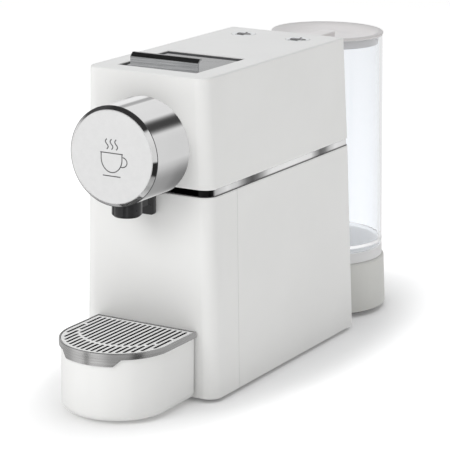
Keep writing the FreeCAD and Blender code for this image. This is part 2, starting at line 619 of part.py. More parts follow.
def build_pump():
    body = rod_y(PUMP_RADIUS, PUMP_FRONT, PUMP_BACK, 0, PUMP_Z)
    body = body.cut(rod_y(PUMP_BORE + RUNNING_GAP, PUMP_FRONT + 12, PUMP_BACK - 14, 0, PUMP_Z))
    front_port = rod_y(PUMP_PORT_RADIUS, PUMP_FRONT - 12, PUMP_FRONT, 0, PUMP_Z)
    rear_port = rod_y(PUMP_PORT_RADIUS, PUMP_BACK, PUMP_BACK + 10, 0, PUMP_Z)
    passage = rod_y(WATER_BORE, PUMP_FRONT - 20, PUMP_BACK + 20, 0, PUMP_Z)
    save("pump_body", fuse([body, front_port, rear_port]).cut(passage))
    y0, y1 = PUMP_COIL_Y
    coil = mid_box(PUMP_COIL_HALF, y0, y1, PUMP_Z - PUMP_COIL_HALF, PUMP_Z + PUMP_COIL_HALF)
    save("pump_coil", coil.cut(rod_y(PUMP_RADIUS, y0 - 8, y1 + 10, 0, PUMP_Z)))
    save("pump_piston", rod_y(PUMP_BORE, 134, 164, 0, PUMP_Z).cut(rod_y(2.5, 130, 170, 0, PUMP_Z)))
    mounts = []
    brackets = []
    for y in (PUMP_FRONT + 2, PUMP_BACK - 8):
        ring = rod_y(MOUNT_RADIUS, y, y + 6, 0, PUMP_Z)
        mounts.append(ring.cut(rod_y(PUMP_RADIUS, y - 1, y + 7, 0, PUMP_Z)))
        plate_y = y + 1.5
        plate = mid_box(PUMP_COIL_HALF, plate_y, plate_y + 3, BASE_TOP, PUMP_Z + 14)
        plate = plate.fuse(mid_box(PUMP_COIL_HALF, plate_y, plate_y + 12, BASE_TOP, BASE_TOP + 2.5))
        brackets.append(plate.cut(rod_y(MOUNT_RADIUS, y - 1, y + 7, 0, PUMP_Z)).removeSplitter())
    save("pump_mounts", Part.makeCompound(mounts))
    save("pump_brackets", Part.makeCompound(brackets))


def build_flow_meter():
    housing = rod_z(METER_RADIUS, METER_Z - 6, METER_Z + 8, 0, METER_Y)
    housing = housing.cut(rod_z(METER_CHAMBER, METER_Z - 4, METER_Z + 5, 0, METER_Y))
    axle = rod_z(1.0, METER_Z - 5, METER_Z + 6, 0, METER_Y)
    foot = rod_z(5.0, BASE_TOP, METER_Z - 6, 0, METER_Y)
    port = rod_z(PIPE_RADIUS, METER_Z + 8, METER_Z + 14, 0, METER_Y)
    nipple = rod_y(PIPE_RADIUS, METER_Y + 13, METER_Y + 20, 0, METER_Z)
    passage = rod_y(WATER_BORE, METER_Y + 10.5, METER_Y + 21, 0, METER_Z)
    meter = fuse([housing, axle, foot, port, nipple]).cut(passage)
    save("flow_meter", meter.cut(rod_z(WATER_BORE, METER_Z + 7, METER_Z + 15, 0, METER_Y)))
    blades = [rod_z(3.0, METER_Z - 3.2, METER_Z + 4.2, 0, METER_Y)]
    for step in range(4):
        blade = box(-9.5, 9.5, METER_Y - 0.6, METER_Y + 0.6, METER_Z - 2.5, METER_Z + 3.5)
        blade.rotate(vec(0, METER_Y, 0), Z_AXIS, 45 * step)
        blades.append(blade)
    axle_hole = rod_z(1.0 + RUNNING_GAP, METER_Z - 8, METER_Z + 8, 0, METER_Y)
    save("flow_rotor", fuse(blades).cut(axle_hole))


def hose(points, outer, inner, bend):
    """A tube along straight runs joined by tangent arcs of one bend radius."""
    nodes = [vec(*point) for point in points]
    edges = []
    start = nodes[0]
    for before, corner, after in zip(nodes, nodes[1:], nodes[2:]):
        toward = (corner - before).normalize()
        away = (after - corner).normalize()
        half_turn = toward.getAngle(away) / 2
        reach = bend * math.tan(half_turn)
        arc_start = corner - toward * reach
        arc_end = corner + away * reach
        inside = (away - toward).normalize()
        middle = corner + inside * (bend / math.cos(half_turn) - bend)
        edges.append(Part.LineSegment(start, arc_start).toShape())
        edges.append(Part.Arc(arc_start, middle, arc_end).toShape())
        start = arc_end
    edges.append(Part.LineSegment(start, nodes[-1]).toShape())
    path = Part.Wire(edges)
    direction = (nodes[1] - nodes[0]).normalize()
    solids = []
    for radius in (outer, inner):
        circle = Part.Wire(Part.makeCircle(radius, nodes[0], direction))
        solids.append(path.makePipeShell([circle], True, False))
    return solids[0].cut(solids[1])


def build_hoses():
    inlet = rod_y(PIPE_RADIUS, METER_Y + 20, TANK_Y - 20, 0, METER_Z)
    inlet = inlet.cut(rod_y(WATER_BORE, METER_Y + 19, TANK_Y - 19, 0, METER_Z))
    rise = [(0, METER_Y, METER_Z + 14), (0, METER_Y, PUMP_Z), (0, PUMP_BACK + 10, PUMP_Z)]
    save("inlet_hoses", Part.makeCompound([inlet, hose(rise, PIPE_RADIUS, WATER_BORE, 11.0)]))
    outlet = [(0, PUMP_FRONT - 12, PUMP_Z), (0, 78, PUMP_Z), (30, 78, 120), (30, BOILER_INLET_Y, 132),
              (0, BOILER_INLET_Y, 146), (0, BOILER_INLET_Y, 174)]
    save("hose_pump_to_boiler", hose(outlet, 3.5, 1.8, 9.0))


def build_board():
    board = mid_box(42, 150, 214, BOARD_Z, BOARD_Z + 1.6)
    relay = box(-30, -14, 156, 170, BOARD_Z + 1.6, BOARD_Z + 11)
    relay = relay.fuse(box(6, 14, 156, 176, BOARD_Z + 1.6, BOARD_Z + 9))
    posts = []
    for x in (-38, 38):
        for y in (155, 209):
            posts.append(rod_z(2.5, BOARD_Z + 1.6, TOP_Z - WALL, x, y))
    save("control_board", fuse([board, relay] + posts))
    switches = []
    for side in (-1, 1):
        x = side * BUTTON_X
        switches.append(box(x - 3, x + 3, BUTTON_Y - 3, BUTTON_Y + 3, BOARD_Z + 1.6, BOARD_Z + 4.6))
    save("micro_switches", Part.makeCompound(switches))


def build_buttons():
    seat_z = BOARD_Z + 4.6
    for side, name in ((-1, "short"), (1, "long")):
        x = side * BUTTON_X
        cap = rod_z(BUTTON_RADIUS, TOP_Z - 4.0, TOP_Z + 0.3, x, BUTTON_Y)
        rim = [edge for edge in cap.Edges if abs(edge.CenterOfMass.z - TOP_Z - 0.3) < 0.01]
        cap = cap.makeFillet(0.8, rim)
        stem = rod_z(2.0, seat_z + 1.8, TOP_Z - 3.5, x, BUTTON_Y)
        save("button_" + name, fuse([cap, stem]))
        turns = 4
        spring_low = seat_z + 0.6
        spring_high = TOP_Z - 4.0
        wire_radius = 0.4
        pitch = (spring_high - spring_low - 2 * wire_radius) / turns
        helix = Part.makeHelix(pitch, pitch * turns, 4.6)
        circle = Part.Wire(Part.makeCircle(wire_radius, vec(4.6, 0, 0), Y_AXIS))
        spring = Part.Wire(helix.Edges).makePipeShell([circle], True, True)
        spring.translate(vec(x, BUTTON_Y, spring_low + wire_radius))
        save("spring_" + name, spring)


# ---------------------------------------------------------------- drip tray drawer
def tray_outline(inset, z):
    """D-shaped wire: half circle at the front, straight sides back to the housing."""
    half = TRAY_HALF_WIDTH - inset
    centre_y = TRAY_FRONT + TRAY_HALF_WIDTH
    left, right = vec(-half, centre_y, z), vec(half, centre_y, z)
    arc = Part.Arc(right, vec(0, centre_y - half, z), left).toShape()
    back_left, back_right = vec(-half, TRAY_BACK, z), vec(half, TRAY_BACK, z)
    lines = ((left, back_left), (back_left, back_right), (back_right, right))
    return Part.Wire([arc] + [Part.LineSegment(a, b).toShape() for a, b in lines])


def tray_solid(inset, z0, z1, back_inset=0.0):
    solid = Part.Face(tray_outline(inset, z0)).extrude(vec(0, 0, z1 - z0))
    if back_inset:
        solid = solid.cut(box(-80, 80, TRAY_BACK - back_inset, TRAY_BACK + 5, z0 - 1, z1 + 1))
    return solid


def build_tray():
    outer = tray_solid(TRAY_INSET, TRAY_BOTTOM, TRAY_TOP)
    floor_edges = [edge for edge in outer.Edges
                   if abs(edge.BoundBox.ZMax - TRAY_BOTTOM) < 0.01 and edge.BoundBox.YMin < TRAY_BACK - 1]
    outer = outer.makeFillet(TRAY_FILLET, floor_edges)
    inner = tray_solid(TRAY_INSET + TRAY_WALL, TRAY_BOTTOM + TRAY_WALL, TRAY_TOP + 1, TRAY_WALL)
    low = [edge for edge in inner.Edges if abs(edge.BoundBox.ZMax - TRAY_BOTTOM - TRAY_WALL) < 0.01]
    inner = inner.makeFillet(TRAY_FILLET - TRAY_WALL, low)
    save("tray_base", outer.cut(inner))

    rim = tray_solid(0.0, TRAY_TOP, RIM_TOP)
    top = [edge for edge in rim.Edges if abs(edge.BoundBox.ZMin - RIM_TOP) < 0.01 and edge.BoundBox.YMin < -1]
    rim = rim.makeFillet(RIM_FILLET, top)
    ledge_top = GRILLE_LEVEL - 0.2
    rim = rim.cut(tray_solid(RIM_WALL, ledge_top, RIM_TOP + 1, RIM_WALL))
    rim = rim.cut(tray_solid(LEDGE_REACH, TRAY_TOP - 1, RIM_TOP + 1, LEDGE_REACH))
    tab = tray_solid(0.0, TRAY_TOP - TAB_DROP, TRAY_TOP).cut(tray_solid(TRAY_INSET, 40, TRAY_TOP + 1))
    tab = tab.common(tab_block())
    save("tray_rim", rim.fuse(tab).removeSplitter())


def tab_block():
    """A block along Y with slanted lower edges, which trims the thumb tab's ends."""
    low_z = TRAY_TOP - TAB_DROP
    block = mid_box(TAB_HALF_WIDTH, TRAY_FRONT - 5, -40, low_z, RIM_TOP + 10)
    low = [edge for edge in block.Edges
           if edge.BoundBox.YLength > 1 and abs(edge.CenterOfMass.z - low_z) < 0.01]
    return block.makeChamfer(TAB_DROP - 0.6, low)


def build_bin():
    block = mid_box(BIN_HALF_WIDTH, TRAY_BACK, BIN_BACK, BASE_TOP + 0.6, BIN_TOP)
    hollow = mid_box(BIN_HALF_WIDTH - 1.8, TRAY_BACK + 4.6, BIN_BACK - 1.8, BASE_TOP + 2.6, BIN_TOP + 1)
    save("pod_bin", block.cut(hollow))


def build_grille():
    inset = RIM_WALL + GRILLE_GAP
    low, high = GRILLE_LEVEL - 1, GRILLE_LEVEL + GRILLE_THICK + 1
    plate = tray_solid(inset, GRILLE_LEVEL, GRILLE_LEVEL + GRILLE_THICK, inset)
    centre_y = TRAY_FRONT + TRAY_HALF_WIDTH
    reach = TRAY_HALF_WIDTH - inset - GRILLE_BORDER
    back = TRAY_BACK - inset - GRILLE_BORDER
    half_slot = SLOT_WIDTH / 2
    slots = []
    for number in range(SLOT_COUNT):
        x = (number - (SLOT_COUNT - 1) / 2) * SLOT_PITCH
        front = centre_y - math.sqrt(reach ** 2 - x ** 2)
        split = GRILLE_RIB_Y - math.sqrt(max(GRILLE_RIB_RADIUS ** 2 - x ** 2, 0.0))
        for y0, y1 in ((front, split - GRILLE_RIB_HALF), (split + GRILLE_RIB_HALF, back)):
            slots.append(box(x - half_slot, x + half_slot, y0 + half_slot, y1 - half_slot, low, high))
            slots.append(rod_z(half_slot, low, high, x, y0 + half_slot))
            slots.append(rod_z(half_slot, low, high, x, y1 - half_slot))
    plate = plate.cut(Part.makeCompound(slots))
    save("drip_grille", plate)


# ---------------------------------------------------------------- water tank
def tank_radius(z):
    share = (z - TANK_BOTTOM) / (TANK_TOP - TANK_BOTTOM)
    return TANK_RADIUS_BOTTOM + share * (TANK_RADIUS_TOP - TANK_RADIUS_BOTTOM)


def build_dock():
    chamfer = 1.2
    outer = cone_z(DOCK_RADIUS_BOTTOM, DOCK_RADIUS_TOP, DOCK_BOTTOM, DOCK_TOP - chamfer, 0, TANK_Y)
    outer = outer.fuse(cone_z(DOCK_RADIUS_TOP, DOCK_RADIUS_TOP - chamfer, DOCK_TOP - chamfer, DOCK_TOP, 0, TANK_Y))
    neck = mid_box(30, 226, 252, BASE_TOP, 44)
    outer = outer.fuse(neck).cut(housing_solid(BOTTOM_Z, 60, -0.05))
    inner_bottom = DOCK_RADIUS_BOTTOM - DOCK_SKIN
    inner = cone_z(inner_bottom, DOCK_RADIUS_TOP - DOCK_SKIN, DOCK_BOTTOM - 1, DOCK_TOP - 3, 0, TANK_Y)
    inner = inner.fuse(mid_box(27.6, 220, 262, 2, 41.6))
    dock = outer.cut(inner).cut(rod_z(SOCKET_RADIUS + 3.0, 30, 60, 0, TANK_Y))
    save("dock_base", dock.removeSplitter())
    socket = rod_z(SOCKET_RADIUS + 3.0, 14, DOCK_TOP - 0.4, 0, TANK_Y)
    socket = socket.cut(rod_z(SOCKET_RADIUS, 34, 60, 0, TANK_Y))
    socket = socket.cut(rod_z(SOCKET_RADIUS + 1.2, 41.0, 43.4, 0, TANK_Y))
    socket = socket.cut(rod_z(3.0, 20, 35, 0, TANK_Y)).fuse(rod_z(1.2, 17, 39.8, 0, TANK_Y))
    socket = socket.fuse(rod_y(PIPE_RADIUS, TANK_Y - 20, TANK_Y - 8, 0, METER_Z))
    socket = socket.cut(rod_y(WATER_BORE, TANK_Y - 21, TANK_Y - 2, 0, METER_Z))
    foot = rod_z(SOCKET_RADIUS + 3.0, BASE_TOP, 14, 0, TANK_Y)
    save("dock_socket", fuse([socket, foot]))
    seal = rod_z(SOCKET_RADIUS + 1.2, 41.0, 43.4, 0, TANK_Y).cut(rod_z(STUB_RADIUS + 0.3, 40, 45, 0, TANK_Y))
    save("dock_seal", seal)


def build_gland():
    gland = rod_y(8.0, 232, 239.0, GLAND_X, GLAND_Z)
    gland = gland.cut(housing_solid(BOTTOM_Z, 60, 0.0)).fuse(rod_y(GLAND_RADIUS, 228, 237.0, GLAND_X, GLAND_Z))
    save("cable_gland", gland.cut(rod_y(3.6, 220, 250, GLAND_X, GLAND_Z)).removeSplitter())


def tank_cone(z0, z1, inset):
    """The tank's tapered round block between two heights."""
    return cone_z(tank_radius(z0) - inset, tank_radius(z1) - inset, z0, z1, 0, TANK_Y)


def build_tank():
    vessel = tank_cone(TANK_FOOT_TOP, TANK_TOP, 0.0)
    vessel = vessel.cut(tank_cone(TANK_FLOOR_TOP, TANK_TOP + 1, TANK_WALL))
    vessel = vessel.cut(tank_cone(TANK_FOOT_TOP - 1, TANK_FLOOR, TANK_WALL))
    save("tank_vessel", vessel.cut(rod_z(5.0, TANK_FLOOR - 1, TANK_FLOOR_TOP + 1, 0, TANK_Y)))
    foot = tank_cone(TANK_BOTTOM, TANK_FOOT_TOP, 0.0)
    underside = tank_cone(TANK_BOTTOM - 1, TANK_FOOT_TOP - 2.4, 2.4)
    foot = foot.cut(underside.cut(rod_z(12.0, 40, 60, 0, TANK_Y)))
    boss = rod_z(16.0, TANK_FOOT_TOP - 2.4, TANK_FLOOR, 0, TANK_Y)
    stub = rod_z(STUB_RADIUS, 37.0, TANK_BOTTOM + 1, 0, TANK_Y)
    save("tank_foot", fuse([foot, boss, stub]).cut(rod_z(PIPE_RADIUS, 30, TANK_FLOOR + 1, 0, TANK_Y)))
    head_low, head_high = VALVE_HEAD
    plunger = rod_z(2.0, 40.0, head_low + 1, 0, TANK_Y).fuse(rod_z(6.4, head_low, head_high, 0, TANK_Y))
    save("valve_plunger", plunger.removeSplitter())


def build_lid():
    plug_r = tank_radius(LID_FLANGE) - TANK_WALL - LID_PLUG_GAP
    rim_in = LID_RADIUS - 3.4
    profile = [(0, LID_PLUG_BOTTOM), (plug_r - LID_PLUG_TAPER, LID_PLUG_BOTTOM), (plug_r, LID_FLANGE - 1.5),
               (plug_r, LID_FLANGE), (LID_RADIUS - 0.6, LID_FLANGE), (LID_RADIUS, LID_FLANGE + 0.6),
               (LID_RADIUS, LID_TOP - 0.7), (LID_RADIUS - 0.7, LID_TOP), (rim_in, LID_TOP),
               (rim_in - 3.0, LID_TOP - 1.2), (rim_in - 8.0, DISH_FLOOR + 1.6), (rim_in - 13.0, DISH_FLOOR),
               (0, DISH_FLOOR)]
    lid = revolve_z(profile, 0, TANK_Y)
    grip_top = LID_TOP - 0.6
    grip = mid_box(GRIP_HALF_WIDTH, TANK_Y - LID_RADIUS + 4, TANK_Y + GRIP_END_Y, DISH_FLOOR - 1, grip_top)
    ends = [edge for edge in grip.Edges if edge.BoundBox.ZLength > 1 and edge.CenterOfMass.y > TANK_Y]
    grip = grip.makeFillet(GRIP_ROUND, ends)
    crown = [edge for edge in grip.Edges if abs(edge.BoundBox.ZMin - grip_top) < 0.01]
    grip = grip.makeFillet(1.2, crown)
    save("tank_lid", lid.fuse(grip).removeSplitter())


build_upper_shell()
build_band()
lower = lower_housing()
build_front_cover(lower)
build_lower_shell(lower)
build_base_plate()
build_feet()
build_screws()
build_frame()
build_mechanism_frame()
build_well_floor()
build_head()
build_chamber()
build_spout()
build_lever()
build_piston()
build_chute()
build_boiler()
build_pump()
build_flow_meter()
build_hoses()
build_board()
build_buttons()
build_tray()
build_bin()
build_grille()
build_dock()
build_gland()
build_tank()
build_lid()
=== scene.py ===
import json
import math

import bmesh
import bpy
from mathutils import Matrix, Vector

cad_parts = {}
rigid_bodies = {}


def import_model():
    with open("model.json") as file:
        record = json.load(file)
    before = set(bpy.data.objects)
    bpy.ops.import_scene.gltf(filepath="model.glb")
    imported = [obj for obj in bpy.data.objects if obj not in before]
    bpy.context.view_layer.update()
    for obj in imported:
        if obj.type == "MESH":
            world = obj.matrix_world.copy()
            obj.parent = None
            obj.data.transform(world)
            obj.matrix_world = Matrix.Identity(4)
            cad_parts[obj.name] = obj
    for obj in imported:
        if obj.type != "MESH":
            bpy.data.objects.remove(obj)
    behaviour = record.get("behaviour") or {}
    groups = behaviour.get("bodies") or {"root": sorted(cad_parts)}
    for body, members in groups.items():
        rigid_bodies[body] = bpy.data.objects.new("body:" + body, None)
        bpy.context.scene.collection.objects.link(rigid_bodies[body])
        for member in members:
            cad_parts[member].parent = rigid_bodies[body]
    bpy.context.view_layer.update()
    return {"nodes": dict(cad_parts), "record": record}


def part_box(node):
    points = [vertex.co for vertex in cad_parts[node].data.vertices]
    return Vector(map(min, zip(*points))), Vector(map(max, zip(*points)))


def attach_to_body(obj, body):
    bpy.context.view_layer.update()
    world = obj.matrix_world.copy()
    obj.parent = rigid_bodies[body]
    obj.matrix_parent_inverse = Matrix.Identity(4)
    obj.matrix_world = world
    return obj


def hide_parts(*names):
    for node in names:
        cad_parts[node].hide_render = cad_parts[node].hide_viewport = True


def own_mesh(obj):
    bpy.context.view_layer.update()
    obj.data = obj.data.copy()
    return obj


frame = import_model()
NODES = frame["nodes"]
SLOT_OF = {part["node"]: part["material_slot"] for part in frame["record"]["subparts"]}
BODIES = frame["record"]["behaviour"]["bodies"]
BODY_OF = {node: body for body, members in BODIES.items() for node in members}

# ---------------------------------------------------------------- sizes
# Lengths are in millimetres with y = 0 on the front of the housing; the tray's nose is 81 mm before it.
MM = 0.001
FRONT_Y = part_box("tray_rim")[0].y + 81.0 * MM

HEAD_RADIUS = 37.5
HEAD_Z = 194.2
EDGE_Y = -41.4
EDGE_LINE_RADIUS = 0.28
SHADE_START_Y = -34.0
SHADE_LOW = (162.0, 192.0)

BAND_LENGTH = 230.0
BAND_LOW = 160.4
BAND_LOW_EDGE = 1.4
BAND_HALF_WIDTH = 55.5
BAND_FRONT = 3.0
BAND_REAR = 228.0
# The dark strip of painted shadow under the chrome band
SEAM_INSET = 0.5
SEAM_THICK = 0.35
SEAM_FRONT_RADIUS = 10.5
SEAM_REAR_RADIUS = 1.5
SEAM_GAP_HALF = 17.0
SEAM_Z = (159.95, 160.5)

WELL_HALF_WIDTH = 34.5
WELL_Y = (17.0, 91.0)
WELL_Z = (242.3, 249.3)
# Thickness of the dark walls of painted shade in the recess
SHADE_SHEET = 0.15

PAN_RADIUS = 39.95
PAN_CENTRE_Y = -37.0
PAN_BACK_Y = 1.05
PAN_Z = (8.8, 51.0)
PAN_WALL = 0.2

TANK_Y = 294.0
LID_SPAN = 48.0


def place(x, y, z):
    """Millimetres from the front of the housing to metres in the frame."""
    return Vector((x * MM, y * MM + FRONT_Y, z * MM))


# ---------------------------------------------------------------- shader nodes
# Sockets of the mix node, which share their names and are told apart by number
MIX_SHARE = 0
COLOUR_A, COLOUR_B, COLOUR_OUT = 6, 7, 2
FLOAT_A, FLOAT_B, FLOAT_OUT = 2, 3, 0


def grey(value):
    return (value, value, value)


def add(tree, kind, **settings):
    """A new shader node of a kind, with its settings."""
    made = tree.nodes.new("ShaderNode" + kind)
    for name, value in settings.items():
        setattr(made, name, value)
    return made


def coordinates(tree, output="Object"):
    return add(tree, "TexCoord").outputs[output]


def components(tree, vector):
    """The x, y and z outputs of a vector."""
    split = add(tree, "SeparateXYZ")
    tree.links.new(vector, split.inputs["Vector"])
    return split.outputs


def vector_math(tree, operation, vector, *operands):
    made = add(tree, "VectorMath", operation=operation)
    tree.links.new(vector, made.inputs[0])
    for number, operand in enumerate(operands, 1):
        made.inputs[number].default_value = operand
    return made.outputs


def remap(tree, value, start, end, low=0.0, high=1.0, kind="LINEAR"):
    """A value moved from the range start to end into the range low to high."""
    made = add(tree, "MapRange", interpolation_type=kind)
    for name, number in (("From Min", start), ("From Max", end), ("To Min", low), ("To Max", high)):
        made.inputs[name].default_value = number
    tree.links.new(value, made.inputs["Value"])
    return made.outputs["Result"]


def noise(tree, scale, stretch, detail=3.0):
    """A noise texture on the object's own coordinates, as a value between 0 and 1."""
    mapping = add(tree, "Mapping")
    mapping.inputs["Scale"].default_value = stretch
    texture = add(tree, "TexNoise")
    texture.inputs["Scale"].default_value = scale
    texture.inputs["Detail"].default_value = detail
    texture.inputs["Roughness"].default_value = 0.55
    tree.links.new(coordinates(tree), mapping.inputs["Vector"])
    tree.links.new(mapping.outputs["Vector"], texture.inputs["Vector"])
    return texture.outputs["Fac"]


def colour_ramp(tree, value, stops):
    """Colours at several positions along a value."""
    made = add(tree, "ValToRGB")
    elements = made.color_ramp.elements
    while len(elements) < len(stops):
        elements.new(0.5)
    for element, (position, colour) in zip(elements, stops):
        element.position = position
        element.color = (*colour, 1)
    tree.links.new(value, made.inputs["Fac"])
    return made.outputs["Color"]


def between(tree, value, low, high):
    """A colour between two, from the middle of a value's range."""
    return colour_ramp(tree, value, ((0.35, low), (0.65, high)))


def greys(tree, value, stops):
    return colour_ramp(tree, value, [(position, grey(tone)) for position, tone in stops])


def along(tree, axis, start, end, stops):
    """A grey tone that changes with the object's own x, y or z (0, 1, 2), given in metres."""
    return greys(tree, remap(tree, components(tree, coordinates(tree))[axis], start, end), stops)


# ---------------------------------------------------------------- finishes
def surface(name, low, high, rough, tone_scale=14.0, grain=900.0, stretch=(1, 1, 1), bump=0.08, depth=0.05,
            **sockets):
    """A procedural finish: mottled tone, uneven roughness and a fine grain in the surface."""
    made = bpy.data.materials.new(name)
    made.use_nodes = True
    tree = made.node_tree
    shader = tree.nodes["Principled BSDF"]
    tone = noise(tree, tone_scale, stretch)
    tree.links.new(between(tree, tone, low, high), shader.inputs["Base Color"])
    fine = noise(tree, grain, stretch, 2.0)
    uneven = noise(tree, tone_scale * 2.7, stretch, 4.0)
    tree.links.new(remap(tree, uneven, 0.3, 0.7, *rough), shader.inputs["Roughness"])
    relief = add(tree, "Bump")
    relief.inputs["Strength"].default_value = bump
    relief.inputs["Distance"].default_value = depth * MM
    tree.links.new(fine, relief.inputs["Height"])
    tree.links.new(relief.outputs["Normal"], shader.inputs["Normal"])
    for socket, value in sockets.items():
        shader.inputs[socket.replace("_", " ")].default_value = value
    return made


def tinted(made, *shades):
    """A finish whose own tone is multiplied by further shades."""
    tree = made.node_tree
    base = tree.nodes["Principled BSDF"].inputs["Base Color"]
    for shade in shades:
        mix = add(tree, "Mix", data_type="RGBA", blend_type="MULTIPLY")
        mix.inputs[MIX_SHARE].default_value = 1.0
        tree.links.new(base.links[0].from_socket, mix.inputs[COLOUR_A])
        tree.links.new(shade, mix.inputs[COLOUR_B])
        tree.links.new(mix.outputs[COLOUR_OUT], base)
    return made


def band_with_painted_reflections():
    """Polished band with painted reflections: dark along the front and bright along the sides, with two dark
    patches of painted reflection and painted shade along its lower edge.
    """
    made = surface("polished_band", (0.9, 0.9, 0.9), (0.95, 0.95, 0.95), (0.05, 0.08), 22.0, 260.0,
                   bump=0.02, depth=0.02, Metallic=1.0)
    tree = made.node_tree
    # Painted reflections along the band's length, by distance from the front of the housing
    tones = ((0.0, 0.012), (10.2, 0.012), (12.0, 0.55), (20.0, 0.72), (30.0, 0.90), (45.0, 0.75),
             (53.0, 0.42), (60.0, 0.18), (68.0, 0.09), (76.0, 0.19), (84.0, 0.44), (93.0, 0.85),
             (100.0, 0.97), (164.0, 0.95), (171.0, 0.5), (180.0, 0.13), (188.0, 0.21), (196.0, 0.62),
             (206.0, 0.92), (230.0, 0.85))
    run = [(y / BAND_LENGTH, tone) for y, tone in tones]
    painted_light_along = along(tree, 1, FRONT_Y, FRONT_Y + BAND_LENGTH * MM, run)
    # Painted shade along the band's lower edge, over the joint below it
    painted_edge_shade = along(tree, 2, BAND_LOW * MM, (BAND_LOW + BAND_LOW_EDGE) * MM,
                    ((0.0, 0.35), (0.5, 0.9), (1.0, 1.0)))
    return tinted(made, painted_light_along, painted_edge_shade)


def sleeve_with_painted_shade():
    """Polished sleeve with painted shade: it grows darker underneath, toward the housing."""
    made = surface("polished_sleeve", (0.735, 0.735, 0.735), (0.755, 0.755, 0.755), (0.06, 0.08), 22.0, 260.0,
                   bump=0.02, depth=0.02, Metallic=1.0)
    tree = made.node_tree
    # Painted shade toward the housing, strongest on the sleeve's underside
    painted_light_along = along(tree, 1, FRONT_Y + SHADE_START_Y * MM, FRONT_Y,
                       ((0.0, 1.0), (0.42, 0.80), (0.72, 0.42), (1.0, 0.25)))
    low = along(tree, 2, SHADE_LOW[0] * MM, SHADE_LOW[1] * MM, ((0.0, 1.0), (0.55, 0.62), (1.0, 0.0)))
    shade = add(tree, "Mix", data_type="RGBA")
    shade.inputs[COLOUR_A].default_value = (*grey(1.0), 1)
    tree.links.new(low, shade.inputs[MIX_SHARE])
    tree.links.new(painted_light_along, shade.inputs[COLOUR_B])
    return tinted(made, shade.outputs[COLOUR_OUT])


def lid_with_painted_light():
    """Lid plastic with painted light: lighter in the dish than on the rim."""
    made = surface("lid_plastic", (0.94, 0.915, 0.91), (0.98, 0.955, 0.95), (0.34, 0.44), bump=0.12)
    tree = made.node_tree
    to_axis = (0.0, -place(0, TANK_Y, 0).y, 0.0)
    flat = vector_math(tree, "MULTIPLY_ADD", coordinates(tree), (1.0, 1.0, 0.0), to_axis)
    radius = vector_math(tree, "LENGTH", flat["Vector"])
    share = remap(tree, radius["Value"], 0.0, LID_SPAN * MM)
    # Painted light: paler in the dish, darker on the rim
    return tinted(made, greys(tree, share, ((0.0, 0.88), (0.82, 0.84), (0.93, 0.66))))


def painted_light_by_facing(made, sideways, upward):
    """Gives a finish painted light and shade: one shade on walls and undersides and another on what faces up.
    """
    tree = made.node_tree
    up = components(tree, add(tree, "NewGeometry").outputs["True Normal"])["Z"]
    tinted(made, between(tree, up, grey(sideways), grey(upward)))


WHITE = surface("white_satin_plastic", (0.81, 0.81, 0.80), (0.83, 0.83, 0.82), (0.32, 0.38),
                Coat_Weight=0.12, Coat_Roughness=0.2)
BUTTON_WHITE = surface("button_plastic", (0.80, 0.81, 0.82), (0.84, 0.85, 0.86), (0.28, 0.36), 40.0)
CHROME = surface("polished_chrome", (0.735, 0.735, 0.735), (0.755, 0.755, 0.755), (0.05, 0.07), 22.0, 260.0,
                 bump=0.02, depth=0.02, Metallic=1.0)
FACE = surface("satin_face_metal", (0.69, 0.69, 0.69), (0.71, 0.71, 0.71), (0.39, 0.41), 260.0,
               bump=0.03, depth=0.02, Metallic=0.85)
BRUSHED = surface("brushed_lever_steel", (0.22, 0.224, 0.228), (0.35, 0.354, 0.36), (0.24, 0.34), 34.0, 420.0,
                  (1, 34, 34), 0.16, 0.03, Metallic=1.0)
RIM_STEEL = surface("satin_rim_steel", (0.36, 0.358, 0.355), (0.42, 0.418, 0.415), (0.22, 0.28), 24.0, 500.0,
                    (1, 1, 26), 0.08, 0.02, Metallic=1.0)
PALE_GREY = surface("pale_grey_plastic", (0.64, 0.64, 0.615), (0.67, 0.67, 0.645), (0.38, 0.48), bump=0.14)
BLACK = surface("black_spout_plastic", (0.010, 0.010, 0.011), (0.018, 0.018, 0.019), (0.26, 0.34), 60.0,
                bump=0.10, Specular_IOR_Level=0.35)
DARK = surface("dark_inner_plastic", (0.035, 0.035, 0.037), (0.055, 0.055, 0.058), (0.45, 0.6), 40.0,
               bump=0.25)
RUBBER = surface("black_rubber", (0.018, 0.018, 0.018), (0.03, 0.03, 0.03), (0.6, 0.8), 60.0, 1400.0,
                 bump=0.4)
STEEL = surface("plain_steel", (0.46, 0.46, 0.465), (0.58, 0.58, 0.585), (0.22, 0.36), 40.0, 500.0,
                (1, 1, 12), 0.12, 0.02, Metallic=1.0)
CAST = surface("cast_aluminium", (0.50, 0.50, 0.51), (0.62, 0.62, 0.63), (0.45, 0.6), 70.0, 1100.0,
               bump=0.55, depth=0.09, Metallic=1.0)
COIL = surface("wound_coil_case", (0.10, 0.045, 0.018), (0.16, 0.07, 0.03), (0.4, 0.55), 50.0, 300.0,
               (1, 9, 1), 0.35)
PALE_PLASTIC = surface("pale_meter_plastic", (0.60, 0.60, 0.58), (0.68, 0.68, 0.66), (0.35, 0.5), 40.0)
SILICONE = surface("silicone_hose", (0.62, 0.62, 0.59), (0.72, 0.72, 0.69), (0.4, 0.5), 30.0, bump=0.12,
                   Subsurface_Weight=0.2)
BOARD = surface("circuit_board", (0.012, 0.10, 0.035), (0.03, 0.19, 0.07), (0.3, 0.45), 420.0, 700.0,
                bump=0.3)
INK = surface("printed_ink", (0.012, 0.012, 0.013), (0.03, 0.03, 0.032), (0.4, 0.5), 300.0)
LINE = surface("engraved_line", (0.05, 0.05, 0.052), (0.09, 0.09, 0.092), (0.3, 0.4), 300.0, Metallic=0.4)
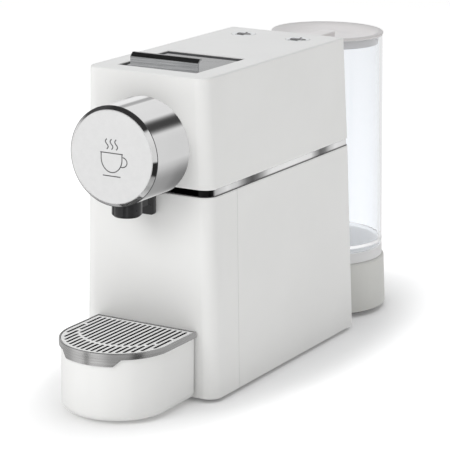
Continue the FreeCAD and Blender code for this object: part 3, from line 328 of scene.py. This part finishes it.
CLEAR = surface("clear_tank_plastic", (0.892, 0.906, 0.924), (0.907, 0.921, 0.939), (0.01, 0.03), 12.0,
                60.0, (1, 1, 0.3), 0.03, 0.3, Transmission_Weight=1.0, IOR=1.35)
# Painted shade: dark in its slots, where its faces point sideways or down
GRILLE_STEEL = surface("brushed_grille_steel", (0.78, 0.78, 0.775), (0.86, 0.86, 0.855), (0.22, 0.30), 30.0,
                       420.0, (1, 30, 30), 0.08, 0.02, Metallic=0.7)
painted_light_by_facing(GRILLE_STEEL, 0.10, 1.0)
# Painted light: paler on its floor, which faces up, than round its edge
FOOT_GREY = surface("tank_foot_plastic", (0.93, 0.93, 0.935), (0.96, 0.96, 0.965), (0.36, 0.44), bump=0.12)
painted_light_by_facing(FOOT_GREY, 0.79, 1.0)

MATERIAL_OF = {
    "white_shell": WHITE, "white_button": BUTTON_WHITE, "chrome": CHROME, "brushed_face": FACE,
    "brushed_steel": BRUSHED, "rim_steel": RIM_STEEL, "pale_grey": PALE_GREY, "clear_plastic": CLEAR,
    "black_plastic": BLACK, "dark_plastic": DARK, "rubber": RUBBER, "steel": STEEL, "cast_alloy": CAST,
    "copper_coil": COIL, "pale_plastic": PALE_PLASTIC, "silicone": SILICONE, "circuit_board": BOARD,
}
# Finishes of single nodes, which carry painted reflections, light and shade
NODE_MATERIAL = {
    "chrome_band": band_with_painted_reflections(), "chrome_sleeve": sleeve_with_painted_shade(), "drip_grille": GRILLE_STEEL,
    "tank_lid": lid_with_painted_light(), "tank_foot": FOOT_GREY,
}


def material_of(node):
    return NODE_MATERIAL.get(node, MATERIAL_OF[SLOT_OF[node]])


# ---------------------------------------------------------------- pieces from the CAD nodes
def attach(mesh, name, material, body, angle=40.0):
    """A new piece from a mesh in the frame's metres, which rides on a body."""
    mesh.materials.clear()
    mesh.materials.append(material)
    mesh.shade_smooth()
    mesh.set_sharp_from_angle(angle=math.radians(angle))
    piece = bpy.data.objects.new(name, mesh)
    bpy.context.scene.collection.objects.link(piece)
    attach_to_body(piece, body)
    return piece


def rounded(node, radius, steps=2, sharp=32.0):
    """The CAD node's own shape with its sharp edges rounded off and blended into its flat faces."""
    bm = bmesh.new()
    bm.from_mesh(NODES[node].data)
    bmesh.ops.remove_doubles(bm, verts=bm.verts, dist=2e-6)
    bmesh.ops.dissolve_limit(bm, angle_limit=0.005, verts=bm.verts, edges=bm.edges)
    limit = math.radians(sharp)
    edges = [edge for edge in bm.edges if edge.is_manifold and edge.calc_face_angle(0) > limit]
    bmesh.ops.bevel(bm, geom=edges, offset=radius * MM, offset_type="OFFSET", segments=steps, profile=0.5,
                    affect="EDGES", clamp_overlap=True)
    mesh = bpy.data.meshes.new(node + "_finished")
    bm.to_mesh(mesh)
    bm.free()
    piece = attach(mesh, node + "_finished", material_of(node), BODY_OF[node])
    modifier = piece.modifiers.new("weighted", "WEIGHTED_NORMAL")
    modifier.keep_sharp = True
    modifier.weight = 60
    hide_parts(node)


def coil_spring(node):
    """The CAD spring as a piece of its own, which rides on its body."""
    piece = attach(NODES[node].data.copy(), node + "_coil", material_of(node), BODY_OF[node])
    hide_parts(node)
    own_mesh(piece)


ROUNDED = {
    "upper_shell": 0.45, "front_cover": 0.45, "lower_shell": 0.45, "chrome_band": 0.3,
    "lever_plate": 0.3, "lever_well": 0.3, "bezel_ring": 0.3, "face_disc": 0.25, "chrome_sleeve": 0.3,
    "spout_bracket": 0.4, "spout_nozzle": 0.3, "tray_base": 0.35, "tray_rim": 0.25, "drip_grille": 0.25,
    "pod_bin": 0.5, "dock_base": 0.4, "tank_lid": 0.35, "tank_foot": 0.3, "tank_vessel": 0.5,
    "button_short": 0.2, "button_long": 0.2, "cable_gland": 0.4,
}
for node, radius in ROUNDED.items():
    rounded(node, radius)
for node, piece in NODES.items():
    if node not in ROUNDED:
        piece.data.materials.clear()
        piece.data.materials.append(material_of(node))
coil_spring("spring_short")
coil_spring("spring_long")


# ---------------------------------------------------------------- meshes from rings of points
def skin(bm, rings, closed):
    """Faces between neighbouring rings of points; an open run is capped at both ends."""
    pairs = list(zip(rings, rings[1:]))
    if closed:
        pairs.append((rings[-1], rings[0]))
    for first, second in pairs:
        for number in range(len(first)):
            after = (number + 1) % len(first)
            bm.faces.new((first[number], first[after], second[after], second[number]))
    if not closed:
        bm.faces.new(rings[0])
        bm.faces.new(rings[-1][::-1])


def mesh_from(bm, name):
    bmesh.ops.recalc_face_normals(bm, faces=bm.faces)
    mesh = bpy.data.meshes.new(name)
    bm.to_mesh(mesh)
    bm.free()
    return mesh


# ---------------------------------------------------------------- printed signs
def stroke(points, width):
    """A flat ribbon along an open line in the plane: its left and right edges, point by point."""
    sides = []
    for number, point in enumerate(points):
        before = Vector(points[max(number - 1, 0)])
        after = Vector(points[min(number + 1, len(points) - 1)])
        run = (after - before).normalized()
        across = Vector((-run.y, run.x)) * width / 2
        sides.append((Vector(point) + across, Vector(point) - across))
    return sides


def sign_mesh(name, strokes, to_frame, thickness):
    """Ribbons of even thickness standing on a flat surface; to_frame maps (u, v, height) to metres."""
    bm = bmesh.new()
    for sides in strokes:
        rings = []
        for left, right in sides:
            corners = ((left, 0.0), (left, thickness), (right, thickness), (right, 0.0))
            rings.append([bm.verts.new(to_frame(corner.x, corner.y, high)) for corner, high in corners])
        skin(bm, rings, False)
    return mesh_from(bm, name)


def arc(x, y, radius_x, radius_y, start, end, steps=16):
    turns = [math.radians(start + (end - start) * k / steps) for k in range(steps + 1)]
    return [(x + radius_x * math.cos(turn), y + radius_y * math.sin(turn)) for turn in turns]


def wave(x, y0, y1, swing, steps=14):
    shares = [k / steps for k in range(steps + 1)]
    return [(x + swing * math.sin(2 * math.pi * share), y0 + (y1 - y0) * share) for share in shares]


def bar(half, y):
    return [(-half, y), (half, y)]


def cup_strokes(size, line, steams, filled=0.0):
    """A line-drawn cup on its saucer with steam above, size being half its bowl's width."""
    down = size * 0.37
    brim = size * 0.7 - down
    bowl = [(-size, brim)] + arc(0, size * 0.25 - down, size, size * 1.15, 180, 360, 28) + [(size, brim)]
    handle = arc(size * 0.98, size * 0.05 - down, size * 0.5, size * 0.42, 80, -110)
    lines = [bowl, bar(size * 1.08, brim), handle, bar(size * 0.85, -size * 1.2 - down)]
    made = [stroke(points, line) for points in lines]
    if filled:
        made.append(stroke(bar(size * 0.72, -size * 0.15 - down), size * filled))
    for x in steams:
        made.append(stroke(wave(x * size, size * 1.0 - down, size * 1.85 - down, size * 0.13), line))
    return made


SUNK = 0.02
FACE_LOW, FACE_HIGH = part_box("face_disc")


def on_face(u, v, high):
    """A point on the round face: across, up and out of it."""
    return Vector((u * MM, FACE_LOW.y + (SUNK - high) * MM, (FACE_LOW.z + FACE_HIGH.z) / 2 + v * MM))


def button_sign(name, size):
    """A small cup printed on a button's top."""
    low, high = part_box("button_" + name)
    centre = (low + high) / 2

    def on_button(u, v, up):
        return Vector((centre.x + u * MM, centre.y + v * MM, high.z + (up - SUNK) * MM))

    mesh = sign_mesh("sign_" + name, cup_strokes(size, 1.35, (0.0,), 0.9), on_button, 0.12)
    attach(mesh, "button_sign_" + name, INK, name + "_button")


attach(sign_mesh("face_emblem", cup_strokes(9.0, 0.75, (-0.45, 0.0, 0.45)), on_face, 0.14),
       "face_emblem", LINE, "chassis")
button_sign("short", 4.6)
button_sign("long", 5.2)


# ---------------------------------------------------------------- linings and joint lines
def wall_mesh(name, loop, closed, low, high):
    """An upright wall that follows a loop of (outer, inner) plan points, between two heights."""
    bm = bmesh.new()
    rings = []
    for outer, inner in loop:
        corners = ((outer, low), (outer, high), (inner, high), (inner, low))
        rings.append([bm.verts.new(place(x, y, z)) for (x, y), z in corners])
    skin(bm, rings, closed)
    return mesh_from(bm, name)


def well_painted_shade():
    """Dark walls round the inside of the lever recess: painted shade in the recess."""
    front, rear = WELL_Y
    loop = []
    for side, y, inward in ((1, front, 1), (1, rear, -1), (-1, rear, -1), (-1, front, 1)):
        inner = (side * (WELL_HALF_WIDTH - SHADE_SHEET), y + inward * SHADE_SHEET)
        loop.append(((side * WELL_HALF_WIDTH, y), inner))
    mesh = wall_mesh("well_painted_shade", loop, True, *WELL_Z)
    attach(mesh, "well_painted_shade", DARK, "chassis", 30.0)


def band_gap_painted_shadow():
    """A dark strip under the chrome band, a painted shadow in the joint's gap, open where the brew head
    passes through.
    """
    half = BAND_HALF_WIDTH - SEAM_INSET
    front = BAND_FRONT + SEAM_INSET
    rear = BAND_REAR - SEAM_INSET
    front_centre = front + SEAM_FRONT_RADIUS
    rear_centre = rear - SEAM_REAR_RADIUS
    corners = ((1, front_centre, SEAM_FRONT_RADIUS, -90), (1, rear_centre, SEAM_REAR_RADIUS, 0),
               (-1, rear_centre, SEAM_REAR_RADIUS, 90), (-1, front_centre, SEAM_FRONT_RADIUS, 180))
    path = [((SEAM_GAP_HALF, front), (0, -1))]
    for side, centre_y, radius, start in corners:
        centre_x = side * (half - radius)
        for outward in arc(0, 0, 1, 1, start, start + 90, 8):
            path.append(((centre_x + radius * outward[0], centre_y + radius * outward[1]), outward))
    path.append(((-SEAM_GAP_HALF, front), (0, -1)))
    loop = [((x, y), (x - SEAM_THICK * nx, y - SEAM_THICK * ny)) for (x, y), (nx, ny) in path]
    mesh = wall_mesh("band_gap_painted_shadow", loop, False, *SEAM_Z)
    # Black finish for the painted shadow in the gap
    attach(mesh, "band_gap_painted_shadow", RUBBER, "chassis", 30.0)


def drip_pan():
    """A dark wall all round inside the drip tray, and a dark floor."""
    plan = [(PAN_RADIUS, PAN_BACK_Y)]
    plan += arc(0, PAN_CENTRE_Y, PAN_RADIUS, PAN_RADIUS, 0, -180, 48)
    plan.append((-PAN_RADIUS, PAN_BACK_Y))
    inward = 1 - PAN_WALL / PAN_RADIUS
    inside = [(x * inward, PAN_CENTRE_Y + (y - PAN_CENTRE_Y) * inward) for x, y in plan]
    mesh = wall_mesh("drip_pan", list(zip(plan, inside)), True, *PAN_Z)
    bm = bmesh.new()
    bm.from_mesh(mesh)
    low, high = [[bm.verts.new(place(x, y, z)) for x, y in inside] for z in (PAN_Z[0], PAN_Z[0] + PAN_WALL)]
    bm.faces.new(low[::-1])
    bm.faces.new(high)
    bm.to_mesh(mesh)
    bm.free()
    attach(mesh, "drip_pan", BLACK, "drawer", 30.0)


def edge_line():
    """The fine dark joint between the bezel and the sleeve of the brew head."""
    bm = bmesh.new()
    section = arc(HEAD_RADIUS, EDGE_Y, EDGE_LINE_RADIUS, EDGE_LINE_RADIUS, 0, 360, 8)[:-1]
    rings = []
    for across, up in arc(0, 0, 1, 1, 0, 360, 128)[:-1]:
        rings.append([bm.verts.new(place(radius * across, y, HEAD_Z + radius * up)) for radius, y in section])
    skin(bm, rings, True)
    attach(mesh_from(bm, "edge_line"), "edge_line", INK, "chassis", 60.0)


well_painted_shade()
band_gap_painted_shadow()
drip_pan()
edge_line()


# ---------------------------------------------------------------- studio
FLOOR_REACH = 6.0
FLOOR_GLOW = (0.10, 0.52)
FLOOR_GLOW_FROM = (0.08, 0.135)
EVEN_LIGHT = 0.39
SENSOR = 36.0
LENS = 170.288
CAMERA_TURN = 29.874
CAMERA_TILT = 14.41
CAMERA_ROLL = 0.581
CAMERA_DISTANCE = 1681.71
CAMERA_TARGET = (12.532, 100.0, 113.603)
# Lamps in metres: name, place, what they point at, side length, watts, tint
LAMPS = (
    ("key", (-0.60, -2.25, 1.45), (0, -0.05, 0.12), 1.5, 27.0, (1, 1, 1)),
    ("fill", (1.9, 0.0, 0.8), (0, 0.05, 0.12), 1.2, 0.5, (1.0, 0.95, 0.80)),
    ("top", (0.1, 0.2, 2.0), (0, 0.05, 0.1), 1.6, 11.2, (0.93, 0.95, 1.0)),
)
# What polished metal mirrors: brightness by height (-1 straight down, 1 straight up) ...
MIRROR_BANDS = (
    (-1.0, 0.80), (-0.88, 0.45), (-0.78, 0.52), (-0.60, 0.38), (-0.52, 0.42), (-0.46, 0.52), (-0.38, 0.68),
    (-0.26, 0.83), (0.20, 0.83), (0.40, 0.90), (0.52, 0.94), (0.70, 0.85), (1.0, 0.30),
)
# ... and soft round patches: direction, inner and outer radius in degrees, brightness
MIRROR_CARDS = (
    ((-0.483, 0.84, 0.249), 8, 16, 0.98),
    ((-0.43, 0.84, 0.33), 1.5, 6.0, 0.48),
    ((0.29, 0.84, 0.455), 0.5, 12.0, 0.07),
    ((-0.10, -0.25, 0.96), 43, 50, 0.04),
    ((-0.86, 0.15, 0.48), 12, 34, 0.08),
    ((-0.483, -0.84, -0.249), 22, 48, 1.30),
    ((-0.483, -0.825, -0.305), 4, 7, 0.05),
    ((0.86, -0.29, -0.42), 10, 15, 0.03),
    ((-0.30, 0.27, -0.91), 4, 9, 0.22),
)


def stage_plane():
    """The floor, which glows more the further it is from the machine."""
    mesh = bpy.data.meshes.new("studio_floor")
    corners = [(x * FLOOR_REACH, y * FLOOR_REACH, 0) for x, y in ((-1, -1), (1, -1), (1, 1), (-1, 1))]
    mesh.from_pydata(corners, [], [(0, 1, 2, 3)])
    floor = bpy.data.objects.new("studio_floor", mesh)
    bpy.context.scene.collection.objects.link(floor)
    made = surface("studio_floor", grey(0.92), grey(0.94), (0.75, 0.85), 3.0, 200.0, bump=0.03,
                   Emission_Color=(1, 1, 1, 1))
    tree = made.node_tree
    away = vector_math(tree, "MULTIPLY", coordinates(tree), (1.0, 0.42, 1.0))
    distance = vector_math(tree, "LENGTH", away["Vector"])
    glow = remap(tree, distance["Value"], *FLOOR_GLOW_FROM, *FLOOR_GLOW, "SMOOTHSTEP")
    tree.links.new(glow, tree.nodes["Principled BSDF"].inputs["Emission Strength"])
    floor.data.materials.append(made)
    floor.visible_glossy = False


def area_light(name, position, target, side, power, tint):
    data = bpy.data.lights.new(name, "AREA")
    data.shape = "RECTANGLE"
    data.size = side
    data.size_y = side
    data.energy = power
    data.color = tint
    lamp = bpy.data.objects.new(name, data)
    lamp.location = position
    lamp.rotation_mode = "QUATERNION"
    lamp.rotation_quaternion = (Vector(target) - Vector(position)).to_track_quat("-Z", "Y")
    lamp.visible_glossy = False
    bpy.context.scene.collection.objects.link(lamp)


def soft_card(tree, direction, base, centre, inner, outer, value):
    """A soft round patch of one brightness in the mirrored studio; radii in degrees."""
    nearness = vector_math(tree, "DOT_PRODUCT", direction, Vector(centre).normalized())["Value"]
    start, end = [math.cos(math.radians(angle)) for angle in (outer, inner)]
    edge = remap(tree, nearness, start, end, kind="SMOOTHSTEP")
    mix = add(tree, "Mix", data_type="FLOAT")
    tree.links.new(edge, mix.inputs[MIX_SHARE])
    tree.links.new(base, mix.inputs[FLOAT_A])
    mix.inputs[FLOAT_B].default_value = value
    return mix.outputs[FLOAT_OUT]


def background(tree, colour, strength):
    made = add(tree, "Background")
    made.inputs["Color"].default_value = (*colour, 1)
    made.inputs["Strength"].default_value = strength
    return made


def choose(tree, share, first, second):
    """One shader where share is 0 and another where it is 1."""
    mix = add(tree, "MixShader")
    tree.links.new(share, mix.inputs["Fac"])
    tree.links.new(first, mix.inputs[1])
    tree.links.new(second, mix.inputs[2])
    return mix.outputs["Shader"]


def build_world():
    """Even light for the surfaces, white behind, and a shaded studio for what polished metal mirrors."""
    world = bpy.data.worlds.new("studio")
    bpy.context.scene.world = world
    world.use_nodes = True
    tree = world.node_tree
    tree.nodes.clear()
    output = add(tree, "OutputWorld")
    even = background(tree, (1.0, 0.995, 0.978), EVEN_LIGHT)
    behind = background(tree, grey(1), 1.0)
    mirrored = background(tree, grey(1), 1.0)
    direction = coordinates(tree, "Generated")
    height = remap(tree, components(tree, direction)["Z"], -1.0, 1.0)
    value = greys(tree, height, [((level + 1) / 2, tone) for level, tone in MIRROR_BANDS])
    for card in MIRROR_CARDS:
        value = soft_card(tree, direction, value, *card)
    tree.links.new(value, mirrored.inputs["Strength"])
    path = add(tree, "LightPath")
    seen = add(tree, "Math", operation="MAXIMUM")
    tree.links.new(path.outputs["Is Camera Ray"], seen.inputs[0])
    tree.links.new(path.outputs["Is Transmission Ray"], seen.inputs[1])
    lit = choose(tree, path.outputs["Is Glossy Ray"], even.outputs[0], mirrored.outputs[0])
    shown = choose(tree, seen.outputs["Value"], lit, behind.outputs[0])
    tree.links.new(shown, output.inputs["Surface"])


def build_camera():
    turn, tilt, roll = [math.radians(angle) for angle in (CAMERA_TURN, CAMERA_TILT, CAMERA_ROLL)]
    ahead = Vector((-math.sin(turn) * math.cos(tilt), math.cos(turn) * math.cos(tilt), -math.sin(tilt)))
    right = Vector((math.cos(turn), math.sin(turn), 0))
    above = right.cross(ahead)
    across = math.cos(roll) * right + math.sin(roll) * above
    upward = -math.sin(roll) * right + math.cos(roll) * above
    data = bpy.data.cameras.new("camera")
    data.sensor_width = SENSOR
    data.lens = LENS
    data.clip_start = 0.05
    data.clip_end = 40.0
    camera = bpy.data.objects.new("camera", data)
    where = place(*CAMERA_TARGET) - ahead * CAMERA_DISTANCE * MM
    axes = Matrix((across, upward, -ahead)).transposed().to_4x4()
    camera.matrix_world = Matrix.Translation(where) @ axes
    bpy.context.scene.collection.objects.link(camera)
    bpy.context.scene.camera = camera


stage_plane()
build_world()
for lamp in LAMPS:
    area_light(*lamp)
build_camera()
bpy.context.scene.view_settings.view_transform = "Standard"

# Polished metal mirrors the studio and not the machine itself, apart from the drawer's pieces.
MIRRORED = ("tray_base_finished", "tray_rim_finished", "drip_grille_finished", "drip_pan", "pod_bin_finished")
for piece in bpy.data.objects:
    if piece.type == "MESH" and piece.name not in MIRRORED:
        piece.visible_glossy = False
bpy.data.objects["tank_vessel_finished"].visible_shadow = False
